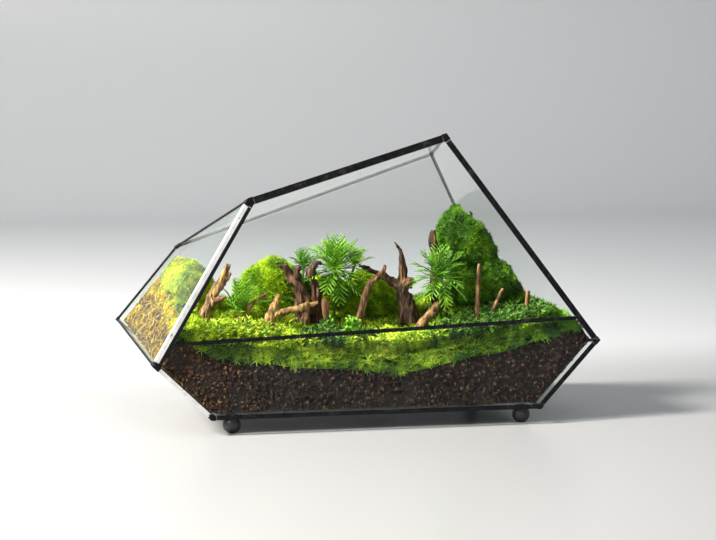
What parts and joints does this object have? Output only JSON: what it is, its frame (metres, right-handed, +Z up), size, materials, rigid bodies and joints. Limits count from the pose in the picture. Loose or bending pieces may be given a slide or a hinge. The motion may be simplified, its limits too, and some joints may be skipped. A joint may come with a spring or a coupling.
{
  "type": "planted glass terrarium",
  "caption": "Faceted glass terrarium in a black metal frame on ball feet, open at the upper front, planted with moss, ferns and driftwood over dark soil.",
  "frame": {"origin": "middle of the footprint of the case, on the surface that the feet stand on", "axes": "+Z up, +X to the viewer's right along the long side, -Y towards the open front"},
  "size_m": [0.3338, 0.1476, 0.202],
  "materials": {
    "glass": "gloss",
    "black_metal": "satin",
    "soil": "matte",
    "moss": "matte",
    "driftwood": "matte",
    "fern": "satin"
  },
  "bodies": {
    "root": {"branch_arched": "driftwood", "corner_back_base_left": "black_metal", "corner_back_base_right": "black_metal", "corner_back_left_tip": "black_metal", "corner_back_peak": "black_metal", "corner_back_right_tip": "black_metal", "corner_back_shoulder": "black_metal", "corner_front_base_left": "black_metal", "corner_front_base_right": "black_metal", "corner_front_left_tip": "black_metal", "corner_front_peak": "black_metal", "corner_front_right_tip": "black_metal", "corner_front_shoulder": "black_metal", "crossbar_front": "black_metal", "driftwood_fork_left": "driftwood", "driftwood_y": "driftwood", "fern_centre": "fern", "fern_left": "fern", "fern_right": "fern", "foot_back_left": "black_metal", "foot_back_right": "black_metal", "foot_front_left": "black_metal", "foot_front_right": "black_metal", "glass_back": "glass", "glass_base": "glass", "glass_front_lower": "glass", "glass_lower_left": "glass", "glass_lower_right": "glass", "glass_top": "glass", "glass_upper_left": "glass", "glass_upper_right": "glass", "moss_bank_middle": "moss", "moss_carpet": "moss", "moss_hill_right": "moss", "moss_mound_left": "moss", "soil": "soil", "stick_curved": "driftwood", "stick_right_short": "driftwood", "stick_right_slanted": "driftwood", "stick_right_tall": "driftwood", "strip_back_base": "black_metal", "strip_back_lower_left": "black_metal", "strip_back_lower_right": "black_metal", "strip_back_top": "black_metal", "strip_back_upper_left": "black_metal", "strip_back_upper_right": "black_metal", "strip_base_left": "black_metal", "strip_base_right": "black_metal", "strip_front_base": "black_metal", "strip_front_lower_left": "black_metal", "strip_front_lower_right": "black_metal", "strip_front_top": "black_metal", "strip_front_upper_left": "black_metal", "strip_front_upper_right": "black_metal", "strip_left_tip": "black_metal", "strip_peak": "black_metal", "strip_right_tip": "black_metal", "strip_shoulder": "black_metal", "stump_centre": "driftwood", "wood_stub_hill": "driftwood"}
  },
  "joints": []
}
